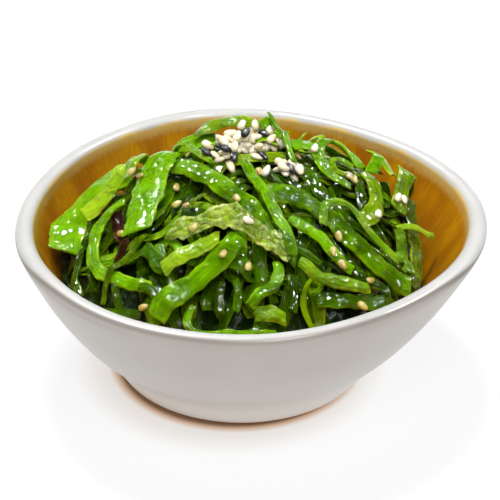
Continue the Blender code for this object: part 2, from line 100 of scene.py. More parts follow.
def deselect():
    if bpy.context.mode != "OBJECT":
        bpy.ops.object.mode_set(mode="OBJECT")
    bpy.ops.object.select_all(action="DESELECT")


def choose(*pieces):
    deselect()
    for piece in pieces:
        piece.select_set(True)
    bpy.context.view_layer.objects.active = pieces[0]


def finish_with(piece, kind, **settings):
    """Adds a modifier to the piece and applies it."""
    modifier = piece.modifiers.new(kind.lower(), kind)
    for key, value in settings.items():
        setattr(modifier, key, value)
    choose(piece)
    bpy.ops.object.modifier_apply(modifier=modifier.name)


def settle(piece, *nodes, slot):
    """Hangs the piece on the root body and hides the parts of the model that it takes the place of. The slot
    is not used.
    """
    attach(piece, "root")
    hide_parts(*nodes)


def points_of(mesh):
    flat = np.empty(len(mesh.vertices) * 3)
    mesh.vertices.foreach_get("co", flat)
    return flat.reshape(-1, 3)


def move_points(mesh, points):
    mesh.vertices.foreach_set("co", np.asarray(points, float).ravel())
    mesh.update()


# Materials


def new_material(name):
    made = bpy.data.materials.new(name)
    made.use_nodes = True
    return made, made.node_tree, made.node_tree.nodes["Principled BSDF"]


def feed(tree, made, inputs):
    """Gives a node its inputs, each a socket to link, a colour or a plain value."""
    for key, value in inputs.items():
        socket = made.inputs[key]
        if isinstance(value, bpy.types.NodeSocket):
            tree.links.new(value, socket)
        else:
            socket.default_value = (*value, 1) if socket.type == "RGBA" else value


def node(tree, kind, inputs=(), **settings):
    made = tree.nodes.new("ShaderNode" + kind)
    for key, value in settings.items():
        setattr(made, key, value)
    feed(tree, made, dict(inputs))
    return made


def mixed(tree, share, first, second):
    """A colour between two, each a socket or a plain colour."""
    return node(tree, "Mix", {"Factor": share, 6: first, 7: second}, data_type="RGBA").outputs[2]


def sums(tree, operation, *values):
    return node(tree, "Math", dict(enumerate(values)), operation=operation).outputs[0]


def ramped(tree, value, low, high, to_low=0.0, to_high=1.0):
    inputs = {"Value": value, "From Min": low, "From Max": high, "To Min": to_low, "To Max": to_high}
    return node(tree, "MapRange", inputs, interpolation_type="SMOOTHSTEP").outputs[0]


def cloudy(tree, place, scale, detail=3.0, stretch=(1, 1, 1), roughness=0.5):
    """Noise at a scale in cycles to the unit, stretched along its axes."""
    mapping = node(tree, "Mapping", {"Vector": place, "Scale": stretch})
    inputs = {"Vector": mapping.outputs[0], "Scale": scale, "Detail": detail, "Roughness": roughness}
    return node(tree, "TexNoise", inputs).outputs["Fac"]


def bumped(tree, height, strength, distance):
    return node(tree, "Bump", {"Height": height, "Strength": strength, "Distance": distance}).outputs[0]


# The seaweed finishes: colours in the thick parts, in the bright ones and along the thin edges, where
# the pale colour is painted light shining through.
SEAWEED = {
    "green": ((0.044, 0.125, 0.000), (0.19, 0.455, 0.002), (0.41, 0.68, 0.003)),
    "dark": ((0.016, 0.046, 0.000), (0.062, 0.165, 0.001), (0.16, 0.32, 0.002)),
    "lime": ((0.14, 0.30, 0.003), (0.38, 0.60, 0.015), (0.62, 0.78, 0.035)),
    "olive": ((0.048, 0.098, 0.000), (0.19, 0.34, 0.001), (0.38, 0.52, 0.004)),
    "pale": ((0.09, 0.21, 0.004), (0.36, 0.50, 0.03), (0.76, 0.80, 0.22)),
    "thread": ((0.13, 0.30, 0.004), (0.38, 0.60, 0.02), (0.62, 0.76, 0.06)),
    "maroon": ((0.010, 0.004, 0.002), (0.060, 0.018, 0.008), (0.14, 0.045, 0.015)),
}
# How much of a finish is covered by pale flakes, and their colour.
SPECKLED = {"pale": 0.4}
FLAKE = (0.72, 0.76, 0.36)


def seaweed(name, deep, bright, painted_glow_and_fibre, speckle):
    """Wet seaweed: mottled along its length, with painted light through its thin edges, and a wrinkled glossy
    skin.
    """
    made, tree, shader = new_material(name)
    places = node(tree, "TexCoord")
    along = places.outputs["UV"]
    body = places.outputs["Object"]
    shade = node(tree, "Attribute", attribute_name="shade").outputs["Fac"]
    mottle = ramped(tree, cloudy(tree, body, 170.0, 3.0), 0.36, 0.64)
    fibre = cloudy(tree, along, 1.0, 4.0, (1.1, 10.0, 1.0), 0.6)
    across = node(tree, "SeparateXYZ", {"Vector": along}).outputs["Y"]
    from_middle = sums(tree, "ABSOLUTE", sums(tree, "SUBTRACT", across, 0.5))
    # Painted light: towards its edges the strip is mixed to the pale colour, as if lit through.
    rim = ramped(tree, from_middle, 0.34, 0.5, 0.0, 0.5)
    rim = sums(tree, "MULTIPLY", rim, ramped(tree, mottle, 0.2, 0.8, 0.25, 1.0))
    tone = sums(tree, "ADD", sums(tree, "MULTIPLY", mottle, 0.38), sums(tree, "MULTIPLY", shade, 0.65))
    colour = mixed(tree, ramped(tree, tone, 0.05, 0.88), deep, bright)
    colour = mixed(tree, ramped(tree, fibre, 0.48, 0.7, 0.0, 0.25), colour, [c * 0.5 for c in deep])
    colour = mixed(tree, ramped(tree, fibre, 0.48, 0.28, 0.0, 0.25), colour, painted_glow_and_fibre)
    colour = mixed(tree, rim, colour, painted_glow_and_fibre)
    if speckle:
        flake = ramped(tree, cloudy(tree, body, 620.0, 4.0, roughness=0.7), 0.5, 0.58, 0.0, speckle)
        colour = mixed(tree, flake, colour, FLAKE)
    crinkled = ramped(tree, cloudy(tree, body, 150.0, 2.0), 0.42, 0.58, 0.05, 0.9)
    skin = sums(tree, "MULTIPLY", cloudy(tree, body, 820.0, 0.5), crinkled)
    ridges = cloudy(tree, along, 1.0, 1.0, (0.8, 3.2, 1.0))
    skin = sums(tree, "ADD", skin, sums(tree, "MULTIPLY", ridges, 0.75))
    skin = sums(tree, "ADD", skin, sums(tree, "MULTIPLY", cloudy(tree, body, 260.0, 1.0), 0.45))
    bump = bumped(tree, skin, 0.9, 0.0010)
    feed(tree, shader, {
        "Base Color": colour, "Normal": bump, "Coat Normal": bump, "Roughness": 0.3,
        "Subsurface Weight": 0.55, "Subsurface Radius": (0.6, 1.0, 0.12), "Subsurface Scale": 0.0010,
        "Specular IOR Level": 0.0, "Coat Weight": 1.0, "Coat Roughness": 0.04,
    })
    return made


def core_painted_shade_finish():
    """The wet mass deep in the heap, painted nearly black as the shade between the shreds."""
    made, tree, shader = new_material("wakame_shade_core")
    body = node(tree, "TexCoord").outputs["Object"]
    patch = cloudy(tree, body, 190.0, 4.0)
    # Painted shade: these near-black greens stand in for the shade deep between the shreds.
    colour = mixed(tree, ramped(tree, patch, 0.42, 0.62), (0.004, 0.012, 0.002), (0.018, 0.05, 0.004))
    feed(tree, shader, {
        "Base Color": colour, "Normal": bumped(tree, cloudy(tree, body, 380.0, 4.0), 0.9, 0.0015),
        "Roughness": ramped(tree, patch, 0.3, 0.7, 0.18, 0.35), "Specular IOR Level": 0.15,
    })
    return made


def bowl_finish():
    """White glaze outside and over the lip, with painted shade and light, that runs into streaked amber and
    brown inside.
    """
    made, tree, shader = new_material("glazed_stoneware")
    body = node(tree, "TexCoord").outputs["Object"]
    turn = node(tree, "Attribute", attribute_name="turn")
    depth = node(tree, "Attribute", attribute_name="depth").outputs["Fac"]
    streak = cloudy(tree, turn.outputs["Vector"], 1.0, 3.0, (120.0, 120.0, 24.0), 0.6)
    broad = cloudy(tree, turn.outputs["Vector"], 1.0, 3.0, (7.0, 7.0, 2.0))
    clouds = cloudy(tree, body, 70.0, 3.0)
    amber = mixed(tree, ramped(tree, broad, 0.36, 0.64), (0.50, 0.175, 0.0), (0.72, 0.33, 0.0))
    amber = mixed(tree, ramped(tree, streak, 0.38, 0.68, 0.0, 0.42), amber, (0.31, 0.10, 0.0))
    amber = mixed(tree, ramped(tree, depth, 3.0, 16.0, 0.0, 0.6), amber, (0.22, 0.070, 0.0))
    worn = sums(tree, "ADD", depth, sums(tree, "MULTIPLY", sums(tree, "SUBTRACT", broad, 0.5), 2.2))
    worn = sums(tree, "ADD", worn, sums(tree, "MULTIPLY", sums(tree, "SUBTRACT", streak, 0.5), 0.9))
    fringe = mixed(tree, ramped(tree, worn, -0.9, 2.6), (0.98, 0.64, 0.19), amber)
    white = mixed(tree, ramped(tree, clouds, 0.3, 0.7), (0.61, 0.605, 0.59), (0.65, 0.645, 0.63))
    # The outside below the lip is painted greyer than the white, partly the glaze's own grey and partly
    # painted shade.
    outer = mixed(tree, ramped(tree, clouds, 0.3, 0.7), (0.50, 0.46, 0.42), (0.535, 0.50, 0.46))
    place = node(tree, "SeparateXYZ", {"Vector": body})
    # Painted light: near the foot the outside turns lighter, as if lit from the floor.
    low = ramped(tree, place.outputs["Z"], 0.016, 0.005)
    outer = mixed(tree, low, outer, (0.72, 0.675, 0.63))
    below = node(tree, "Attribute", attribute_name="outer").outputs["Fac"]
    # At the sides and back the painted shade below the lip starts further down.
    front = ramped(tree, place.outputs["Y"], -0.01, -0.045)
    below = sums(tree, "SUBTRACT", below, ramped(tree, front, 0.0, 1.0, 1.8, 0.0))
    white = mixed(tree, ramped(tree, below, 0.1, 0.7, 0.0, 0.35), white, outer)
    # Painted shade: a dark line just under the lip.
    white = mixed(tree, ramped(tree, below, 0.7, 1.6), white, (0.29, 0.26, 0.23))
    white = mixed(tree, ramped(tree, below, 1.8, 2.9), white, outer)
    colour = mixed(tree, ramped(tree, worn, -1.7, -0.5), white, fringe)
    feed(tree, shader, {
        "Base Color": colour, "Normal": bumped(tree, cloudy(tree, body, 60.0, 1.0), 0.2, 0.001),
        "Roughness": ramped(tree, clouds, 0.3, 0.7, 0.30, 0.42), "Specular IOR Level": 0.25,
        "Coat Weight": 0.2, "Coat Roughness": 0.3,
    })
    return made


def seed_finish(name, pale, dark, roughness):
    made, tree, shader = new_material(name)
    body = node(tree, "TexCoord").outputs["Object"]
    tone = cloudy(tree, body, 420.0, 2.0)
    colour = mixed(tree, ramped(tree, tone, 0.38, 0.62), dark, pale)
    feed(tree, shader, {
        "Base Color": colour, "Normal": bumped(tree, cloudy(tree, body, 1500.0, 2.0), 0.25, 0.0002),
        "Roughness": roughness, "Coat Weight": 0.25, "Coat Roughness": 0.2,
    })
    return made


# The bowl


def outline_share(angle):
    wave = sum(c * np.cos(n * angle) + s * np.sin(n * angle) for n, c, s in RIM_WAVES)
    return 1 + wave / LIP_OUTER_RADIUS


def drawn_place(radius, angle, height):
    """The plan position of a point of the bowl, whose axis drifts and whose outline goes out of round."""
    share = height / RIM_HEIGHT
    reach = radius * (1 + (outline_share(angle) - 1) * share**WAVE_POWER)
    x = FOOT_CENTRE[0] + (RIM_CENTRE[0] - FOOT_CENTRE[0]) * share + reach * np.cos(angle)
    y = FOOT_CENTRE[1] + (RIM_CENTRE[1] - FOOT_CENTRE[1]) * share + reach * np.sin(angle)
    return x, y


def rim_middle():
    angle = np.arange(SOLID_SIDES) * 2 * math.pi / SOLID_SIDES
    x, y = drawn_place(LIP_OUTER_RADIUS, angle, LIP_CENTRE_HEIGHT)
    return (x.max() + x.min()) / 2, (y.max() + y.min()) / 2


RIM_MIDDLE = rim_middle()


def lip_profile(steps=12):
    middle = (LIP_INNER_RADIUS + LIP_OUTER_RADIUS) / 2
    half = (LIP_OUTER_RADIUS - LIP_INNER_RADIUS) / 2
    rise = RIM_HEIGHT - LIP_CENTRE_HEIGHT
    turns = [math.pi * step / steps for step in range(steps + 1)]
    return [(middle + half * math.cos(t), LIP_CENTRE_HEIGHT + rise * math.sin(t)) for t in turns]


def rounded_line(points, step, fineness=24):
    """Points on a smooth curve through a list of points, about a step apart."""
    points = np.array(points, float)
    padded = np.vstack([2 * points[0] - points[1], points, 2 * points[-1] - points[-2]])
    fine = []
    for i in range(len(points) - 1):
        a, b, c, d = padded[i : i + 4]
        for t in np.linspace(0, 1, fineness, endpoint=False):
            bend = 2 * b + (c - a) * t + (2 * a - 5 * b + 4 * c - d) * t**2 + (3 * b - a - 3 * c + d) * t**3
            fine.append(0.5 * bend)
    fine = np.array(fine + [points[-1]])
    along = np.concatenate([[0], np.cumsum(np.linalg.norm(np.diff(fine, axis=0), axis=1))])
    count = max(3, int(round(along[-1] / step)) + 1)
    places = np.linspace(0, along[-1], count)
    spaced = np.stack([np.interp(places, along, fine[:, k]) for k in range(points.shape[1])], axis=1)
    return spaced, places


def bowl_profile():
    """From the middle of the underside round the foot, up the outer wall, over the lip and down inside."""
    under = [(1.0, FOOT_RECESS[-1][1])] + FOOT_RECESS[::-1] + FOOT_RING[::-1] + FOOT_NECK[::-1]
    outer, _ = rounded_line(BOWL_OUTSIDE[::-1], WALL_STEP)
    inner, _ = rounded_line(BOWL_INSIDE[::-1] + [(1.0, BOWL_FLOOR)], WALL_STEP)
    lip = lip_profile()
    walls = [tuple(p) for p in outer] + lip + [tuple(p) for p in inner]
    return under + walls, len(under) + len(outer) + len(lip)


def make_bowl():
    """A disc is drawn out ring by ring, as a hand throws a bowl, and then pushed out of round."""
    profile, inside_from = bowl_profile()
    radius, height = profile[0]
    bpy.ops.mesh.primitive_circle_add(
        vertices=BOWL_SIDES, radius=radius * MM, fill_type="NGON", location=(0, 0, height * MM)
    )
    bowl = bpy.context.object
    bowl.name = bowl.data.name = "bowl_glazed"
    bpy.ops.object.transform_apply(location=True, rotation=False, scale=False)
    bpy.ops.object.mode_set(mode="EDIT")
    bpy.ops.mesh.select_all(action="SELECT")
    for (r0, z0), (r1, z1) in zip(profile, profile[1:]):
        bpy.ops.mesh.extrude_region_move(TRANSFORM_OT_translate={"value": (0, 0, (z1 - z0) * MM)})
        bpy.ops.transform.resize(value=(r1 / r0, r1 / r0, 1), center_override=(0, 0, z1 * MM))
    bpy.ops.mesh.select_all(action="SELECT")
    bpy.ops.mesh.normals_make_consistent(inside=False)
    bpy.ops.object.mode_set(mode="OBJECT")
    bpy.ops.object.shade_smooth()
    points = points_of(bowl.data) / MM
    radii = np.hypot(points[:, 0], points[:, 1])
    angles = np.arctan2(points[:, 1], points[:, 0])
    heights = points[:, 2]
    rings = np.array(profile)
    ring = np.argmin((radii[:, None] - rings[:, 0]) ** 2 + (heights[:, None] - rings[:, 1]) ** 2, axis=1)
    along = np.concatenate([[0], np.cumsum(np.linalg.norm(np.diff(rings, axis=0), axis=1))])
    top = inside_from - 1 - len(lip_profile()) // 2
    depth = np.where(ring > top, along[ring] - along[inside_from - 1], OUTSIDE_DEPTH)
    below_lip = np.where(ring < top, along[top] - along[ring], 0.0)
    turn = np.stack([np.cos(angles), np.sin(angles), along[ring] / GLAZE_SPAN], axis=1)
    below_lip = np.clip(below_lip, 0, LIP_SHADE_REACH)
    bowl.data.attributes.new("outer", "FLOAT", "POINT").data.foreach_set("value", below_lip)
    bowl.data.attributes.new("depth", "FLOAT", "POINT").data.foreach_set("value", depth)
    bowl.data.attributes.new("turn", "FLOAT_VECTOR", "POINT").data.foreach_set("vector", turn.ravel())
    x, y = drawn_place(radii, angles, heights)
    placed = np.stack([x - RIM_MIDDLE[0], y - RIM_MIDDLE[1], heights], axis=1)
    for point in placed:
        if point[2] > WOBBLE_FROM:
            point[0] += WOBBLE * noise.noise(Vector(point) / 21.0)
            point[1] += WOBBLE * noise.noise(Vector(point) / 23.0 + Vector((9, 0, 0)))
            swell = noise.noise(Vector(point) / 30.0 + Vector((0, 7, 0)))
            point[2] += WOBBLE_IN_HEIGHT * swell * min(1.0, point[2] / 30)
    move_points(bowl.data, placed * MM)
    bowl.data.materials.append(bowl_finish())
    settle(bowl, "bowl", slot="glazed_stoneware")


# What lies where


class Pile:
    """Meshes in millimetres, and the height of the uppermost above a point of the plan."""

    def __init__(self):
        self.points = []
        self.faces = []
        self.tree = None

    def add(self, mesh):
        start = len(self.points)
        self.points += [vertex.co / MM for vertex in mesh.vertices]
        self.faces += [[start + i for i in face.vertices] for face in mesh.polygons]

    def close(self):
        self.tree = BVHTree.FromPolygons(self.points, self.faces)
        return self

    def seen(self, across, rise):
        """The point that the camera sees at a place of its picture plane, or None past the pile."""
        ahead = Vector((0, math.cos(CAMERA_RISE), -math.sin(CAMERA_RISE)))
        upward = Vector((0, math.sin(CAMERA_RISE), math.cos(CAMERA_RISE)))
        return self.tree.ray_cast(Vector((across, 0, 0)) + rise * upward - 200 * ahead, ahead)[0]

    def height(self, x, y, missing=None, start=120.0):
        """The height of the pile under a point of the plan, looking down from a starting height."""
        hit = self.tree.ray_cast((x, y, start), (0, 0, -1))[0]
        return hit.z if hit else missing


def piled(*pieces):
    pile = Pile()
    for piece in pieces:
        pile.add(piece.data)
    return pile.close()


def sideways(spaced):
    ahead = np.gradient(spaced, axis=0)
    ahead /= np.linalg.norm(ahead, axis=1)[:, None]
    return np.stack([-ahead[:, 1], ahead[:, 0]], axis=1)


def smoothed(values, places, reach):
    """The values averaged along the strip over about the reach on each side."""
    weights = np.exp(-(((places[:, None] - places[None]) / reach) ** 2))
    return weights @ values / weights.sum(axis=1)


# The strips, as in their solids: node, finish, width, thickness and the plan of the route, in
# millimetres, and then what sets the strip apart. Its ends keep these shares of the width, and are
# cut askew by the slant. Cup is how far its edges rise, tilt how much more than its solid it rises
# to the left, plump how many times its thickness it has in the middle, and shade how bright it is.
# Scallop is how uneven its edges are, ruffle how far they wave, lumps and frill how coarsely and how
# finely it is crumpled, and crease how deep a groove runs along its middle.

STRIPS = [
    ("back_left_under", "dark", 4.5, 1.0, [(-38, 19), (-30, 25), (-21, 29), (-12, 33)], {}),
    ("back_right_under", "dark", 4.5, 1.0, [(33, 17), (26, 25), (17, 31), (8, 35)], {}),
    ("back_low_band", "green", 5.0, 1.0, [(-16, 39), (-7, 40), (3, 40), (13, 38), (20, 34)], {}),
    ("left_dark_stem", "dark", 2.6, 1.0, [(-42, -9.5), (-42.5, -14), (-43, -18.5), (-41.5, -23.5)], {}),
    ("left_lip_strip", "dark", 2.5, 1.0, [(-35, -31), (-31, -33.5), (-26, -36)], {}),
    ("front_left_leaf", "green", 4.0, 1.0, [(-25, -34.5), (-23.5, -37), (-22.5, -40)], {}),
    ("dark_left_leaf", "dark", 4.5, 1.0, [(-26, -21), (-23, -25), (-20, -29)], {"cup": 0.5}),
    ("dark_front_stem", "dark", 2.4, 1.0, [(-7, -33), (-7.6, -37), (-7.2, -41)], {}),
    ("dark_front_blade", "dark", 2.2, 1.0, [(-4, -32.5), (-3.2, -36), (-3.6, -40)], {}),
    ("dark_middle_band", "dark", 3.0, 1.0, [(-17, -15), (-12, -17), (-7, -18.5), (-2, -19)], {}),
    ("dark_middle_leaf", "dark", 4.5, 1.0, [(-13, -30), (-9, -29), (-4, -30.5), (0, -33)], {}),
    ("dark_right_blade", "dark", 2.8, 1.0, [(9.5, -30.5), (9.8, -34.5), (9.2, -39)], {}),
    ("right_low_band", "dark", 4.0, 1.0, [(15, -35), (21, -33), (28, -30), (34, -25.5)], {}),
    ("right_edge_band", "olive", 4.5, 1.0, [(39, 13), (40.5, 5), (41, -4), (40.5, -12), (38.5, -18)], {}),
    ("right_olive_leaf", "olive", 5.5, 1.0, [(29, 9), (31, 3), (30, -4), (27, -9)], {"shade": 0.85}),
    ("right_back_leaf", "green", 6.0, 1.0, [(10, 10), (15, 13), (21, 17), (27, 19)], {"shade": 0.6}),
    ("front_loop", "green", 2.0, 1.1, [(-13.5, -37), (-15, -40), (-14, -42.6), (-10.5, -43.8),
     (-5, -44), (1, -43.8), (5.5, -43)], {}),
    ("front_lime_leaf", "lime", 4.4, 0.9, [(0.5, -41), (4, -40.6), (8, -40.5)], {}),
    ("front_curve", "green", 3.0, 1.1, [(6, -28.5), (6.2, -32), (5, -35.5), (2.3, -38.5), (-0.8, -41)], {}),
    ("left_end_piece", "green", 9.0, 1.0, [(-45.8, -8), (-46.5, -2.5), (-45.4, 3), (-42, 7), (-37.5, 9),
     (-31, 10)], {"ends": (1, 0.5), "shade": 0.9, "slant": -3.0, "tilt": 0.7}),
    ("left_hook", "green", 3.6, 1.2, [(-31, -3.5), (-35, -5), (-37.5, -8.5), (-38.7, -13), (-38, -18.5),
     (-36, -22), (-32, -26), (-27.5, -29.5), (-23.5, -31.5)], {"cup": 0.5, "shade": 0.7, "plump": 1.4}),
    ("left_lime_strip", "lime", 4.8, 1.0, [(-42, -1), (-38.5, 1), (-35, 3), (-31.5, 5.5), (-29, 8.5)],
     {"shade": 0.8, "ends": (1, 0.6), "tilt": 0.6}),
    ("left_thin_stem", "olive", 1.6, 1.0, [(-25, -17), (-30, -22), (-34, -25), (-35.5, -30)], {}),
    ("left_back_leaf", "lime", 4.6, 1.0, [(-30.5, 0), (-28.5, 6), (-25.5, 12)], {}),
    ("left_small_leaf", "green", 3.0, 1.0, [(-26.5, -33), (-23.5, -35), (-20.5, -36.8)], {}),
    ("middle_curved_strip", "green", 2.5, 1.0, [(-19, -22), (-17.2, -25.7), (-18, -30.5)], {}),
    ("middle_thin_arc", "olive", 1.5, 0.9, [(-14, -17), (-14.2, -13.5), (-11.5, -10.5)], {}),
    ("right_long_band", "green", 6.2, 1.1, [(2, -10), (8, -10.5), (13.5, -11.5), (19, -14), (24, -17),
     (29, -19), (34.5, -20), (38.5, -20)], {"ends": (0.7, 0.9), "cup": -0.5, "plump": 1.6, "shade": 0.2}),
    ("right_under_stem", "dark", 3.0, 1.0, [(16, -19), (21, -22.5), (27, -25.5), (33, -26)], {}),
    ("right_middle_strip", "green", 3.4, 1.0, [(9, -16.5), (12.7, -19.5), (16.3, -22), (20.2, -25),
     (24, -26.5)], {}),
    ("right_dark_rod", "dark", 2.4, 1.4, [(10.5, -24.5), (13.5, -26), (16.5, -27)],
     {"plump": 1.5, "ends": (0.6, 0.4), "shade": 0.8}),
    ("right_curl", "green", 3.0, 1.0, [(27.5, 9), (24, 13.5), (19.5, 13.5), (16.8, 9), (17.2, 4.5),
     (20, 1.2), (24.5, 0.2)], {"cup": 0.4, "shade": 0.5}),
    ("right_curl_inner", "lime", 2.0, 0.9, [(25.5, 7.5), (22.5, 9.2), (20, 7.5), (20.6, 4.5),
     (23.5, 3.2)], {}),
    ("right_pale_leaf", "lime", 5.0, 0.9, [(30, 17), (33, 15), (36, 12)], {}),
    ("right_shoulder_leaf", "olive", 5.6, 1.0, [(40, 20), (39.5, 14), (38, 8), (36.5, 3)], {"shade": 0.7}),
    ("right_lime_tip", "lime", 2.2, 1.0, [(36.5, -2), (41, 0), (46, 2)], {}),
    ("right_curled_end", "green", 3.0, 1.0, [(35.5, -11), (38, -14), (38.6, -18)], {}),
    ("back_left_band", "green", 5.0, 1.0, [(-31, 17), (-25, 22), (-17, 25), (-9, 27)], {}),
    ("back_right_band", "green", 5.0, 1.0, [(-4, 30), (4, 30), (12, 28), (20, 23), (27, 22)], {}),
    ("back_cross_strip", "lime", 3.4, 1.0, [(-22, 33), (-14, 29), (-6, 24), (1, 21)], {}),
    ("back_stem", "green", 2.6, 1.1, [(9, 40), (10, 33), (9, 26), (6, 20)], {}),
    ("back_curl", "olive", 2.8, 1.0, [(-28, 31), (-33, 28), (-35, 22), (-30, 19.5), (-25, 24)], {}),
    ("back_thin_strand", "lime", 1.7, 0.9, [(22, 30), (15, 25), (14, 19), (18, 14)], {}),
    ("back_short_leaf", "dark", 5.0, 1.0, [(-11, 36), (-6, 33), (-1, 32)], {}),
    ("top_back_leaf", "olive", 4.2, 1.0, [(-14.5, 13), (-10, 16), (-4, 17.5), (3, 17.5)],
     {"shade": 0.7, "ends": (0.35, 0.8), "cup": -0.3, "scallop": 0.05, "tilt": -0.4}),
    ("upper_band", "green", 5.2, 1.1, [(-21, 4), (-15.5, -1), (-10, -6), (-5, -11.5), (-2, -15), (1.5, -19.5),
     (5, -24)], {"ends": (0.8, 0.7), "cup": -0.5, "plump": 1.6, "shade": 0.3, "lumps": 0.12}),
    ("big_leaf", "green", 8.8, 1.1, [(-20, 9), (-23, 3), (-25, -3), (-26.4, -10), (-27.5, -17.5)],
     {"ends": (0.7, 1), "cup": -0.6, "plump": 1.5, "shade": 0.9, "scallop": 0.14}),
    ("front_diagonal", "green", 5.8, 1.1, [(-1.5, -27), (-7, -30.5), (-12.6, -34), (-17, -36.3),
     (-20, -38.5), (-22, -40.8)], {"shade": 0.6, "plump": 1.5}),
    ("front_left_short", "lime", 4.2, 1.0, [(-21, -30.5), (-16, -29.5), (-11.5, -28.5), (-7.5, -27.5)], {}),
    ("frilly_ribbon", "pale", 5.6, 1.2, [(-19.5, -21), (-15.5, -22.5), (-10, -24.6), (-4, -25),
     (1, -25.2), (6, -26.5), (9, -28.5)],
     {"ruffle": 0.4, "frill": 0.7, "scallop": 0.25, "shade": 0.6, "tilt": 0.3}),
    ("centre_stem", "green", 2.8, 1.2, [(-2, 0.5), (-0.6, -4), (0.6, -8.5), (3, -14), (5.5, -19),
     (7.5, -23), (8.8, -27), (9.6, -30)], {"crease": 0.35, "plump": 1.5, "shade": 0.55}),
    ("right_front_stem", "lime", 3.4, 1.2, [(11, -30), (15, -31.4), (19, -31), (23.5, -30), (28, -28.5)], {}),
    ("right_small_loop", "olive", 1.6, 1.0, [(14, -33), (12, -35.5), (12.6, -38.5), (14.5, -41)], {}),
    ("pale_thread", "thread", 2.2, 0.8, [(-21, 13.5), (-14, 6), (-9.5, 0)], {"ends": (1, 0.3)}),
    ("top_pointed_tip", "green", 1.7, 0.9, [(10.5, 2.5), (9, 8), (7, 13.5), (4, 19.5)], {"ends": (1, 0.1)}),
    ("arch_thread", "thread", 2.3, 0.9, [(17, -18.5), (17.3, -15), (20, -12.6), (24.5, -12), (28.5, -13.2),
     (32.5, -15), (36, -16.6)], {}),
]

# What a strip has where its own list doesn't say.
PLAIN_LOOK = {
    "ends": (0.85, 0.85), "tilt": 0.0, "plump": 1.25, "scallop": 0.16, "ruffle": 0.16,
    "lumps": 0.22, "frill": 0.0, "crease": 0.0,
}
STEP_ALONG = 0.85
CELLS_ACROSS = 6
CELLS_ACROSS_NARROW = 4
NARROW = 2.4
# The levels of thickness across a strip, and the least as a share of the most.
PLUMP_LEVELS = 20
THINNEST = 0.05
# How quickly the width, the edges, the ruffle, the lumps and the frill of a strip change along it.
WIDTH_PACE = 0.16
EDGE_PACE = 0.55
RUFFLE_PACE = 0.45
LUMP_PACE = 0.3
FRILL_PACES = (0.9, 2.3)
# How much the width changes, how far the thinning of an end goes in, how torn and how sunk it is,
# and the width of a groove as a share of half the strip.
WIDTH_CHANGE = 0.2
END_REACH = 1.6
END_TEAR = 0.55
END_DROP = 0.35
GROOVE_WIDTH = 0.22
# Where the sides of a solid are read, as a share of its width, the steepest lean, and how far along
# the strip the leans and the heights are averaged.
SIDE_SHARE = 0.28
STEEPEST = 1.2
LEAN_REACH = 1.6
HEIGHT_REACH = 1.1


def end_share(places, start, end, reach=4.0):
    from_start = np.clip(places / reach, 0, 1)
    from_end = np.clip((places[-1] - places) / reach, 0, 1)
    return (start + (1 - start) * from_start) * (end + (1 - end) * from_end)


def lie_on_solid(solid, spaced, places, left, width, thickness):
    """The height of a strip's middle and its lean to the left, read from the top of its solid."""
    heights, leans = [], []
    for i in range(len(places)):
        x, y = spaced[min(max(i, 1), len(places) - 2)]
        middle = solid.height(x, y)
        aside = SIDE_SHARE * width * left[i]
        port, board = solid.height(x + aside[0], y + aside[1]), solid.height(x - aside[0], y - aside[1])
        heights.append(np.nan if middle is None else middle)
        leans.append(0.0 if None in (port, board) else (port - board) / (2 * SIDE_SHARE * width))
    heights = np.array(heights)
    known = ~np.isnan(heights)
    heights = np.interp(places, places[known], heights[known])
    leans = smoothed(np.clip(leans, -STEEPEST, STEEPEST), places, LEAN_REACH)
    return smoothed(heights, places, HEIGHT_REACH) - thickness / 2 * np.hypot(1, leans), leans


def wavering(seed, x, y):
    """Smooth noise about zero, of its own for each seed."""
    return noise.noise(Vector((x, y, seed * 3.1)))


